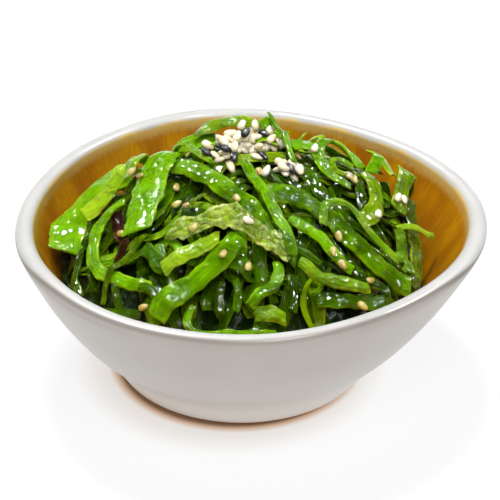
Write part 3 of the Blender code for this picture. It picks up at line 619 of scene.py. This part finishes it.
def ribbon(name, spaced, places, heights, leans, width, thickness, look, seed, cells, rounding=1):
    """A grid laid along the route, cupped, ruffled and crumpled, then made thick and rounded."""
    bpy.ops.mesh.primitive_grid_add(x_subdivisions=len(places) - 1, y_subdivisions=cells, size=1)
    piece = bpy.context.object
    piece.name = piece.data.name = name
    grid = points_of(piece.data)
    step = np.clip(np.rint((grid[:, 0] + 0.5) * (len(places) - 1)).astype(int), 0, len(places) - 1)
    side = grid[:, 1] * 2
    look = {"slant": 0.5 * math.sin(seed * 2.4), "cup": 0.35 * math.sin(seed * 1.7), **PLAIN_LOOK, **look}
    left = sideways(spaced)
    ahead = np.stack([left[:, 1], -left[:, 0]], axis=1)
    wander = np.array([wavering(seed, s * WIDTH_PACE, 7.0) for s in places])
    widths = width * end_share(places, *look["ends"]) * (1 + WIDTH_CHANGE * wander)
    edges = np.array([[wavering(seed, s * EDGE_PACE, 20.0 + a * 9.0) for a in (-1, 1)] for s in places])
    cup = look["cup"] * (0.7 + 0.8 * wander)
    near_end = np.exp(-np.minimum(places, places[-1] - places) / END_REACH)
    which_end = np.where(places < places[-1] / 2, -1, 1)
    placed = np.empty_like(grid)
    weights = np.empty(len(grid))
    for i, (k, v) in enumerate(zip(step, side)):
        along = places[k]
        lean = math.atan(leans[k])
        reach = v * widths[k] / 2 * (1 + look["scallop"] * 2 * edges[k, int(v > 0)] * abs(v))
        wave = look["ruffle"] * v * v * wavering(seed, along * RUFFLE_PACE, v * 1.5 + 40)
        lump = look["lumps"] * wavering(seed, along * LUMP_PACE, v * width * 0.28 + 60)
        if look["frill"]:
            coarse, fine = (along * pace for pace in FRILL_PACES)
            crimp = wavering(seed, coarse, v * 2.6) + 0.6 * wavering(seed, fine, v * 5.0 + 9)
            lump += look["frill"] * crimp
        groove = look["crease"] * math.exp(-((v / GROOVE_WIDTH) ** 2))
        rise = cup[k] * (v * v - 0.4) + 2 * (wave + lump) - groove
        slide = reach * math.cos(lean) - rise * math.sin(lean)
        tear = END_TEAR * wavering(seed, v * 2.4, 80 + which_end[k])
        torn = near_end[k] * (look["slant"] * v + tear) * which_end[k]
        placed[i, :2] = spaced[k] + left[k] * slide + ahead[k] * torn
        lift = reach * math.sin(lean) + rise * math.cos(lean)
        placed[i, 2] = heights[k] + lift - END_DROP * near_end[k]
        weights[i] = (1 - 0.72 * abs(v) ** 2.6) * (1 - 0.5 * near_end[k])
    move_points(piece.data, placed * MM)
    uv = piece.data.uv_layers[0].uv
    flat = np.empty(len(uv) * 2)
    uv.foreach_get("vector", flat)
    flat[0::2] *= places[-1] / 10
    uv.foreach_set("vector", flat)
    group = piece.vertex_groups.new(name="plump")
    for count in range(1, PLUMP_LEVELS + 1):
        level = count / PLUMP_LEVELS
        near = [i for i in range(len(grid)) if abs(weights[i] - level) <= 0.5 / PLUMP_LEVELS]
        group.add(near, level, "REPLACE")
    plump = thickness * look["plump"] * MM
    finish_with(
        piece, "SOLIDIFY", thickness=plump, offset=0, vertex_group="plump", thickness_vertex_group=THINNEST
    )
    if rounding:
        finish_with(piece, "SUBSURF", levels=rounding, render_levels=rounding)
    bpy.ops.object.shade_smooth()
    return piece


def shade_piece(piece, shade):
    piece.data.attributes.new("shade", "FLOAT", "POINT").data.foreach_set(
        "value", np.full(len(piece.data.vertices), shade)
    )


def make_strips(finishes):
    laid = []
    for seed, (name, kind, width, thickness, points, look) in enumerate(STRIPS):
        finer = 2 if "frill" in look else 1
        spaced, places = rounded_line(points, STEP_ALONG / finer)
        solid = piled(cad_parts[name])
        heights, leans = lie_on_solid(solid, spaced, places, sideways(spaced), width, thickness)
        leans = leans + look.get("tilt", PLAIN_LOOK["tilt"])
        cells = CELLS_ACROSS_NARROW if width < NARROW else CELLS_ACROSS * finer
        piece = ribbon(name + "_leaf", spaced, places, heights, leans, width, thickness, look, seed, cells)
        shade_piece(piece, look.get("shade", 0.35 + 0.3 * math.sin(seed * 3.3)))
        piece.data.materials.append(finishes[kind])
        settle(piece, name, slot="wakame_" + ("pale" if kind == "thread" else kind))
        laid.append(piece)
    return laid


# The shreds under the strips

# The core lies this deep under the top of the solid heap, and under the crown, given by its middle
# and reach, less deep by a share. It stays clear of the solid's rim, and its top is lumpy.
CORE_DEPTH = 6.5
CROWN = (-2.0, 12.0, 15.0, 8.0)
CROWN_SHARE = 0.55
CORE_CLEARANCE = 1.0
CORE_LUMP = 2.2
CORE_SIDES = 72
CORE_RINGS = 36
# The radius within which the heap's rim is looked for, and the step of the search.
RIM_SEARCH = (10.0, 56.0)
SEARCH_STEP = 0.5
SHRED_COUNT = 230
SHRED_TRIES = 900
SHRED_STEP = 1.5
SHRED_STRIDE = SHRED_STEP * 1.3
SHRED_STRIDES = (6, 20)
# The bend with which a shred starts and how it changes at each stride, in radians, by chance, and
# the share of it that stays.
SHRED_BEND = 0.13
SHRED_BEND_CHANGE = 0.07
SHRED_BEND_KEPT = 0.93
# Where the random draws for the shreds start.
SHRED_DRAW = 41
SHRED_WIDTHS = (1.3, 4.2)
SHRED_THICKNESSES = (0.6, 0.95)
SHRED_STARTS_WITHIN = 50
SHRED_STAYS_WITHIN = 54
# How often a shred has each finish, and how bright it is at most: the shreds are kept dark as painted
# shade under the strips.
SHRED_KINDS = {"dark": 10, "green": 4, "olive": 3, "lime": 0.7}
SHRED_BRIGHTEST = 0.42
SHRED_LOOK = {"ends": (0.6, 0.6), "lumps": 0.16, "ruffle": 0.08, "plump": 1.0, "scallop": 0.12}
# A shred bridges a dip: each round lifts its points to the middle of their neighbours, less the sag.
SHRED_ROUNDS = 14
SHRED_SAG = 0.12
SHRED_GAP = 0.05


def make_core(bed):
    """The mass that the shreds lie on, dark as painted shade: a sphere shaped to the solid heap, and sunk
    below its top.
    """
    low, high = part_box("wakame_bed")
    middle = (low + high) / 2 / MM
    bpy.ops.mesh.primitive_uv_sphere_add(segments=CORE_SIDES, ring_count=CORE_RINGS, radius=1)
    core = bpy.context.object
    core.name = core.data.name = "wakame_shade_core"
    points = points_of(core.data)
    placed = np.empty_like(points)
    for i, (x, y, z) in enumerate(points):
        share = 1 - abs(math.asin(max(-1.0, min(1.0, z)))) / (math.pi / 2)
        angle = math.atan2(y, x)
        reach, farthest = RIM_SEARCH
        while bed.height(reach * math.cos(angle), reach * math.sin(angle)) is not None and reach < farthest:
            reach += SEARCH_STEP
        reach = (reach - CORE_CLEARANCE) * share
        px, py = reach * math.cos(angle), reach * math.sin(angle)
        top = bed.height(px, py, middle.z)
        lump = CORE_LUMP * noise.noise(Vector((px, py, 0)) / 5.0)
        crown = math.exp(-(((px - CROWN[0]) / CROWN[2]) ** 2) - ((py - CROWN[1]) / CROWN[3]) ** 2)
        under = bed.tree.ray_cast((px, py, -10.0), (0, 0, 1))[0]
        floor = under.z + 0.2 if under else middle.z
        roof = max(floor + 0.1, top - CORE_DEPTH * (1 - CROWN_SHARE * crown) + lump)
        placed[i] = (px, py, roof if z > 0 else floor)
    move_points(core.data, placed * MM)
    core.data.materials.append(core_painted_shade_finish())
    bpy.ops.object.shade_smooth()
    settle(core, "wakame_bed", slot="wakame_dark")
    return core


def wandering_route(draw):
    """A random loose curve over the heap, as plan points."""
    angle, reach = draw.uniform(0, 2 * math.pi), SHRED_STARTS_WITHIN * math.sqrt(draw.random())
    x, y = reach * math.cos(angle), reach * math.sin(angle)
    heading = draw.uniform(0, 2 * math.pi)
    turning = draw.gauss(0, SHRED_BEND)
    route = []
    for _ in range(int(draw.uniform(*SHRED_STRIDES))):
        route.append((x, y))
        turning += draw.gauss(0, SHRED_BEND_CHANGE)
        turning *= SHRED_BEND_KEPT
        heading += turning
        x += SHRED_STRIDE * math.cos(heading)
        y += SHRED_STRIDE * math.sin(heading)
    return np.array(route)


def laid_on(pile, route, width, thickness):
    """Heights at which the shred rests on the pile without a sharp dip, or None off the heap."""
    left = sideways(route)
    needed = np.full(len(route), -np.inf)
    for i, (x, y) in enumerate(route):
        for offset in (-0.5, 0, 0.5):
            under = pile.height(x + offset * width * left[i, 0], y + offset * width * left[i, 1])
            if under is None:
                return None
            needed[i] = max(needed[i], under + thickness / 2 + SHRED_GAP)
    heights = needed.copy()
    for _ in range(SHRED_ROUNDS):
        heights[1:-1] = np.maximum(needed[1:-1], 0.5 * (heights[:-2] + heights[2:]) - SHRED_SAG)
    return heights


# Ends and bits of leaf that stand behind the sesame or lie under it, as points in the air, in
# millimetres: finish, width and route.
STANDING = [
    ("lime", 3.4, [(-1.6, 15.5, 57.5), (-1.4, 16.4, 60.5), (-1.2, 17.2, 62.4)]),
    ("green", 4.0, [(4.4, 16.0, 57.5), (3.6, 16.8, 60.0), (2.6, 17.4, 61.6)]),
    ("green", 2.4, [(8.0, 13.5, 56.5), (8.4, 14.6, 58.2), (8.3, 15.2, 59.4)]),
    ("lime", 0.8, [(10.6, 13.0, 55.5), (12.3, 13.8, 57.4), (13.8, 14.6, 58.9)]),
    ("olive", 6.0, [(-11.5, 11.6, 54.6), (-4.0, 14.4, 57.0), (1.0, 15.0, 57.6)]),
    ("green", 6.0, [(-2.0, 15.0, 56.0), (3.0, 15.4, 57.4), (8.0, 14.0, 56.6)]),
    ("green", 3.6, [(30.0, 8.0, 51.0), (31.2, 9.5, 53.0), (32.0, 10.6, 54.6)]),
    ("green", 7.0, [(-19.5, 13.0, 53.6), (-14.5, 13.6, 56.6), (-9.0, 14.0, 57.2)]),
    ("olive", 5.4, [(-6.5, 3.8, 56.2), (-1.0, 5.2, 56.4), (4.5, 6.8, 55.7), (9.0, 6.6, 55.6)]),
]
STANDING_LOOK = {"ends": (1, 0.9), "cup": 0.5, "plump": 0.9, "slant": 0.3, "scallop": 0.1}
STANDING_STEP = 0.6
STANDING_SHADE = 0.8
STANDING_SEED = 70
# Brown-red bits that show between the strips at the left: width and plan of the route. All lean.
MAROON_BITS = [
    (3.6, [(-33.5, -3.5), (-32.5, -7.5), (-31.5, -12)]),
    (2.2, [(-29.5, -13), (-31, -17), (-33, -20)]),
]
MAROON_LEAN = 0.3
MAROON_SHADE = 0.5
# How thick both are.
BIT_THICKNESS = 0.8


def make_standing(finishes):
    made = []
    for seed, (kind, width, route) in enumerate(STANDING):
        line, places = rounded_line(route, STANDING_STEP)
        plan, heights, flat = line[:, :2], line[:, 2], np.zeros(len(places))
        piece = ribbon(
            f"standing_end_{seed}", plan, places, heights, flat, width, BIT_THICKNESS, STANDING_LOOK,
            STANDING_SEED + seed, CELLS_ACROSS,
        )
        shade_piece(piece, STANDING_SHADE)
        piece.data.materials.append(finishes[kind])
        settle(piece, "top_back_leaf", slot="wakame_" + kind)
        made.append(piece)
    return made


def make_shreds(bed, core, finishes):
    """Lays shreds one on another on the core, each only where it stays inside the solid heap."""
    draw = random.Random(SHRED_DRAW)
    pile = piled(core)
    groups = {kind: [] for kind in SHRED_KINDS}
    made = 0
    for attempt in range(SHRED_TRIES):
        route = wandering_route(draw)
        width, thickness = draw.uniform(*SHRED_WIDTHS), draw.uniform(*SHRED_THICKNESSES)
        kind = draw.choices(list(SHRED_KINDS), list(SHRED_KINDS.values()))[0]
        # Painted shade: a shred is never brighter than this share.
        shade = SHRED_BRIGHTEST * draw.random()
        if np.hypot(route[:, 0], route[:, 1]).max() > SHRED_STAYS_WITHIN:
            continue
        spaced, places = rounded_line(route, SHRED_STEP)
        heights = laid_on(pile, spaced, width, thickness)
        if heights is None:
            continue
        roofs = [bed.height(x, y) for x, y in spaced]
        if None in roofs or (heights + thickness / 2 > np.array(roofs) - SHRED_GAP).any():
            continue
        look = {**SHRED_LOOK, "cup": draw.uniform(-0.3, 0.3)}
        flat = np.zeros(len(places))
        piece = ribbon(
            f"shred_{made}", spaced, places, heights, flat, width, thickness, look, attempt,
            CELLS_ACROSS_NARROW, rounding=0,
        )
        shade_piece(piece, shade)
        pile.add(piece.data)
        pile.close()
        groups[kind].append(piece)
        made += 1
        if made == SHRED_COUNT:
            break
    laid = [core]
    for seed, (width, route) in enumerate(MAROON_BITS):
        spaced, places = rounded_line(route, STEP_ALONG)
        heights = laid_on(pile, spaced, width, BIT_THICKNESS)
        leans = np.full(len(places), MAROON_LEAN)
        piece = ribbon(
            f"maroon_bit_{seed}", spaced, places, heights, leans, width, BIT_THICKNESS, {"cup": 0.6}, seed,
            CELLS_ACROSS,
        )
        shade_piece(piece, MAROON_SHADE)
        piece.data.materials.append(finishes["maroon"])
        settle(piece, "wakame_bed", slot="wakame_dark")
        laid.append(piece)
    for kind, pieces in groups.items():
        choose(*pieces)
        bpy.ops.object.join()
        joined = bpy.context.object
        joined.name = joined.data.name = "shreds_" + kind
        joined.data.materials.clear()
        joined.data.materials.append(finishes[kind])
        settle(joined, "wakame_bed", slot="wakame_" + kind)
        laid.append(joined)
    return laid


# The sesame

SEED_LENGTH = 3.2
SEED_WIDTH = 2.1
SEED_THICKNESS = 1.25
# Where the sesame is seen: across and up the picture plane of the camera, in millimetres, with the
# turn of each seed there in degrees. Loose fillers lie under the heaped seeds, in two heaps given by
# middle and reach.
TOP_HEAP = (-1.8, 55.0, 7.2, 3.6)
SIDE_HEAP = (7.4, 48.2, 4.6, 1.6)
FILLER_COUNTS = (13, 3)
HEAPED_SEEDS = {
    "white": [
        (-8.8, 57.2, -35), (-5.4, 57.8, 10), (-2.5, 59.4, 50), (0.9, 60.0, 90), (-0.3, 58.6, 0),
        (4.5, 58.4, 80), (-5.7, 56.1, -15), (-6.9, 54.9, -40), (-11.0, 54.1, -10), (-3.6, 56.9, 60),
        (-1.3, 56.9, 20), (1.0, 56.8, 5), (2.1, 55.7, -15), (-2.0, 55.5, 0), (-1.6, 54.6, -10),
        (1.7, 54.2, -35), (3.7, 54.6, 45), (5.6, 54.4, -70), (7.2, 55.3, -50), (5.0, 56.4, 30),
        (-4.3, 54.2, 80), (-2.2, 53.1, -15), (0.2, 53.1, 85), (-8.9, 51.8, -20), (-7.8, 50.7, -15),
        (-6.0, 51.3, 30), (-5.2, 48.9, -50), (1.3, 51.5, -15), (-6.9, 52.6, 0), (4.8, 49.7, -5),
        (7.0, 49.6, -20), (3.5, 47.5, 50), (6.7, 48.0, -10), (7.8, 48.4, -5), (10.4, 49.6, -10),
        (11.8, 47.8, -60), (10.3, 46.5, -30),
    ],
    "black": [
        (-1.5, 57.8, 25), (3.0, 57.8, -25), (-8.2, 53.7, 80), (-6.2, 53.2, 0), (-11.1, 52.4, -20),
        (-4.4, 51.3, -80), (3.0, 51.3, -40), (9.5, 48.1, -30),
    ],
}
STRAY_SEEDS = [
    ("tan", 11.5, 50.6, -30), ("tan", 1.8, 47.0, -60), ("tan", -18.5, 42.5, 80),
    ("tan", -18.1, 38.9, 10), ("tan", -15.5, 38.7, 0), ("tan", -3.6, 40.1, -40),
    ("white", -0.8, 34.6, 5), ("tan", -29.5, 46.5, 20), ("tan", -27.5, 46.1, -35),
    ("tan", -31.6, 31.8, -10), ("tan", -6.6, 27.0, 60), ("tan", -25.3, 14.5, 0),
    ("tan", -13.5, 33.0, 20), ("tan", -0.8, 24.0, 70), ("white", 15.7, 53.2, 60),
    ("white", 24.7, 46.4, 0), ("tan", 25.6, 45.2, -40), ("white", 31.2, 36.8, 70),
    ("white", 36.8, 40.9, 50), ("white", 38.4, 40.5, -70), ("tan", 36.0, 38.4, 60),
    ("tan", 20.8, 31.0, -60), ("tan", 19.3, 27.4, -80), ("tan", 21.4, 24.3, -30),
    ("tan", 28.2, 19.9, 30), ("tan", 29.5, 18.1, 0), ("tan", 26.1, 14.6, -15),
]
# A filler takes the place of these tries where the heap is lowest.
SEED_TRIES = 4
# Where the random draws for the seeds start.
SEED_DRAW = 7
# A heaped seed comes to rest higher than the place aimed at, so the aim is lower by this.
HEAP_LIFT = 0.6
# A seed falls from just above the point that is seen, tilts with what lies under its ends and sides,
# but not past the steepest slope, and its middle rests this far above them.
SEED_DROP = 1.2
SEED_LONG = 1.2
SEED_WIDE = 0.6
SEED_STEEPEST = 0.5
SEED_REST = 0.55
SEED_SIZES = (0.95, 1.1)
STRAY_SIZE = 0.85


def seed_shape():
    """One seed: a sphere drawn out to a blunt tip and flattened."""
    bpy.ops.mesh.primitive_uv_sphere_add(segments=12, ring_count=8, radius=1, rotation=(0, math.pi / 2, 0))
    seed = bpy.context.object
    bpy.ops.object.transform_apply(location=False, rotation=True, scale=False)
    points = points_of(seed.data)
    blunt = np.clip(1 - points[:, 0] ** 2, 1e-6, 1) ** -0.1 * (1 - 0.24 * points[:, 0])
    points[:, 1] *= blunt * SEED_WIDTH / 2
    points[:, 2] *= blunt * SEED_THICKNESS / 2
    points[:, 0] *= SEED_LENGTH / 2
    move_points(seed.data, points * MM)
    bpy.ops.object.shade_smooth()
    return seed


def beside(pile, place, way, reach):
    """The height of the pile at a reach from a place, looking down from just above that place."""
    x, y = place.x + way.x * reach, place.y + way.y * reach
    return pile.height(x, y, place.z, place.z + SEED_DROP)


def lay_seed(pile, shape, place, turn, size):
    """A copy of the seed, turned as the camera sees it and tilted with what lies under it."""
    heading = math.atan2(math.sin(turn) / math.sin(CAMERA_RISE), math.cos(turn))
    ahead = Vector((math.cos(heading), math.sin(heading), 0))
    across = Vector((-ahead.y, ahead.x, 0))
    fore, aft = beside(pile, place, ahead, SEED_LONG), beside(pile, place, ahead, -SEED_LONG)
    port, board = beside(pile, place, across, SEED_WIDE), beside(pile, place, across, -SEED_WIDE)
    middle = beside(pile, place, ahead, 0.0)
    pitch = max(-SEED_STEEPEST, min(SEED_STEEPEST, (fore - aft) / (2 * SEED_LONG)))
    roll = max(-SEED_STEEPEST, min(SEED_STEEPEST, (port - board) / (2 * SEED_WIDE)))
    ahead = (ahead + UP * pitch).normalized()
    across = (across + UP * roll).normalized()
    top = ahead.cross(across).normalized()
    across = top.cross(ahead)
    rest = max(middle, (fore + aft) / 2, (port + board) / 2) + SEED_REST
    seed = shape.copy()
    seed.data = shape.data.copy()
    bpy.context.collection.objects.link(seed)
    turned = np.stack([ahead, across, top], axis=1)
    points = points_of(shape.data) @ turned.T * size
    move_points(seed.data, points + np.array((place.x, place.y, rest)) * MM)
    return seed


def planned_seeds(draw):
    """Every seed in the order in which it falls: kind, places to try, turn in degrees and size."""
    plan = [(kind, [(across, rise)], turn, STRAY_SIZE) for kind, across, rise, turn in STRAY_SEEDS]
    for (cx, cy, rx, ry), count in zip((TOP_HEAP, SIDE_HEAP), FILLER_COUNTS):
        for _ in range(count):
            tries = []
            for _ in range(SEED_TRIES):
                angle, reach = draw.uniform(0, 2 * math.pi), math.sqrt(draw.random())
                tries.append((cx + rx * reach * math.cos(angle), cy + ry * reach * math.sin(angle)))
            plan.append(("white", tries, draw.uniform(-90, 90), 1.0))
    for kind, seeds in HEAPED_SEEDS.items():
        plan += [(kind, [(across, rise - HEAP_LIFT)], turn, 1.0) for across, rise, turn in seeds]
    return plan


def make_seeds(laid):
    draw = random.Random(SEED_DRAW)
    shape = seed_shape()
    pile, bare = piled(*laid), piled(*laid)
    groups = {"white": [], "black": [], "tan": []}
    for kind, tries, turn, share in planned_seeds(draw):
        places = [place for place in (pile.seen(*entry) for entry in tries) if place]
        if not places:
            continue
        place = min(places, key=lambda p: pile.height(p.x, p.y, 90.0) - bare.height(p.x, p.y, 0.0))
        size = draw.uniform(*SEED_SIZES) * share
        seed = lay_seed(pile, shape, place, math.radians(turn), size)
        pile.add(seed.data)
        pile.close()
        groups[kind].append(seed)
    bpy.data.objects.remove(shape)
    finishes = {
        "white": seed_finish("sesame_white", (0.94, 0.88, 0.68), (0.90, 0.74, 0.44), 0.42),
        "black": seed_finish("sesame_black", (0.030, 0.028, 0.032), (0.010, 0.010, 0.012), 0.35),
        "tan": seed_finish("sesame_tan", (0.56, 0.50, 0.12), (0.46, 0.32, 0.05), 0.4),
    }
    for kind, pieces in groups.items():
        choose(*pieces)
        bpy.ops.object.join()
        joined = bpy.context.object
        joined.name = joined.data.name = "sesame_" + kind
        joined.data.materials.append(finishes[kind])
        settle(joined, "sesame_seeds_top", "sesame_seeds_side", slot="sesame")


# The stage

FOOT_MIDDLE = ((FOOT_CENTRE[0] - RIM_MIDDLE[0]) * MM, (FOOT_CENTRE[1] - RIM_MIDDLE[1]) * MM)

# The painted brown shadow at the foot and the painted haze of shadow around it both lie a little to the left.
PAINTED_SHADOW_MIDDLE = (FOOT_MIDDLE[0] - 0.0013, FOOT_MIDDLE[1] + 0.0003)
PAINTED_HAZE_MIDDLE = (FOOT_MIDDLE[0] - 0.003, FOOT_MIDDLE[1] - 0.002)


def make_stage():
    bpy.ops.mesh.primitive_plane_add(size=6, location=(0, 0, 0))
    floor = bpy.context.object
    floor.name = floor.data.name = "floor"
    made, tree, shader = new_material("light_table")
    body = node(tree, "TexCoord").outputs["Object"]
    from_painted_shadow, from_painted_haze = (
        node(tree, "VectorMath", {0: body, 1: (*middle, 0)}, operation="DISTANCE").outputs["Value"]
        for middle in (PAINTED_SHADOW_MIDDLE, PAINTED_HAZE_MIDDLE)
    )
    # Painted shadow: a dark brown ring just round the foot and a faint haze beyond it dim the table's light.
    light_and_painted_shadow = mixed(tree, ramped(tree, from_painted_shadow, 0.0303, 0.0322), (0.12, 0.05, 0.015), (0.60, 0.38, 0.24))
    light_and_painted_shadow = mixed(tree, ramped(tree, from_painted_shadow, 0.0315, 0.0340), light_and_painted_shadow, (0.83, 0.79, 0.75))
    light_and_painted_shadow = mixed(tree, ramped(tree, from_painted_haze, 0.031, 0.042), light_and_painted_shadow, (1.0, 1.0, 1.0))
    feed(tree, shader, {
        "Emission Color": light_and_painted_shadow, "Emission Strength": 0.85, "Base Color": (0.16, 0.16, 0.16),
        "Roughness": 0.8, "Specular IOR Level": 0.0,
    })
    floor.data.materials.append(made)


def sun(name, come_from, strength, spread, sparkle):
    """Light from a direction, some degrees wide, that lights the surfaces or only glints on them."""
    data = bpy.data.lights.new(name, "SUN")
    data.energy = strength
    data.angle = math.radians(spread)
    lamp = bpy.data.objects.new(name, data)
    bpy.context.collection.objects.link(lamp)
    lamp.rotation_euler = Vector(come_from).to_track_quat("Z", "Y").to_euler()
    lamp.visible_glossy = sparkle
    lamp.visible_diffuse = not sparkle


def make_light():
    world = bpy.data.worlds.new("studio")
    bpy.context.scene.world = world
    world.use_nodes = True
    tree = world.node_tree
    feed(tree, tree.nodes["Background"], {"Color": (1, 1, 1), "Strength": 0.16})
    world.cycles_visibility.glossy = False
    sun("key", (-0.10, 0.28, 0.95), 2.7, 14, False)
    sun("fill", (0.10, -0.60, 0.90), 1.6, 35, False)
    sun("window", (-0.25, 0.45, 0.88), 3.6, 5, True)
    sun("lamp", (0.25, -0.30, 0.95), 2.4, 5, True)
    sun("side_lamp", (0.55, 0.35, 0.80), 2.4, 5, True)


def make_camera():
    data = bpy.data.cameras.new("photo_camera")
    data.lens = CAMERA_LENS
    camera = bpy.data.objects.new("photo_camera", data)
    bpy.context.collection.objects.link(camera)
    back = CAMERA_DISTANCE * math.cos(CAMERA_RISE)
    rise = CAMERA_DISTANCE * math.sin(CAMERA_RISE)
    camera.location = (CAMERA_AIM[0], CAMERA_AIM[1] - back, CAMERA_AIM[2] + rise)
    camera.rotation_euler = (math.pi / 2 - CAMERA_RISE, 0, 0)
    bpy.context.scene.camera = camera
    bpy.context.scene.view_settings.view_transform = "Standard"


def main():
    deselect()
    finishes = {
        kind: seaweed("wakame_" + kind, *colours, SPECKLED.get(kind, 0.0))
        for kind, colours in SEAWEED.items()
    }
    make_camera()
    make_bowl()
    bed = piled(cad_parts["wakame_bed"])
    core = make_core(bed)
    laid = make_shreds(bed, core, finishes) + make_strips(finishes)
    make_seeds(laid + make_standing(finishes))
    make_stage()
    make_light()


main()
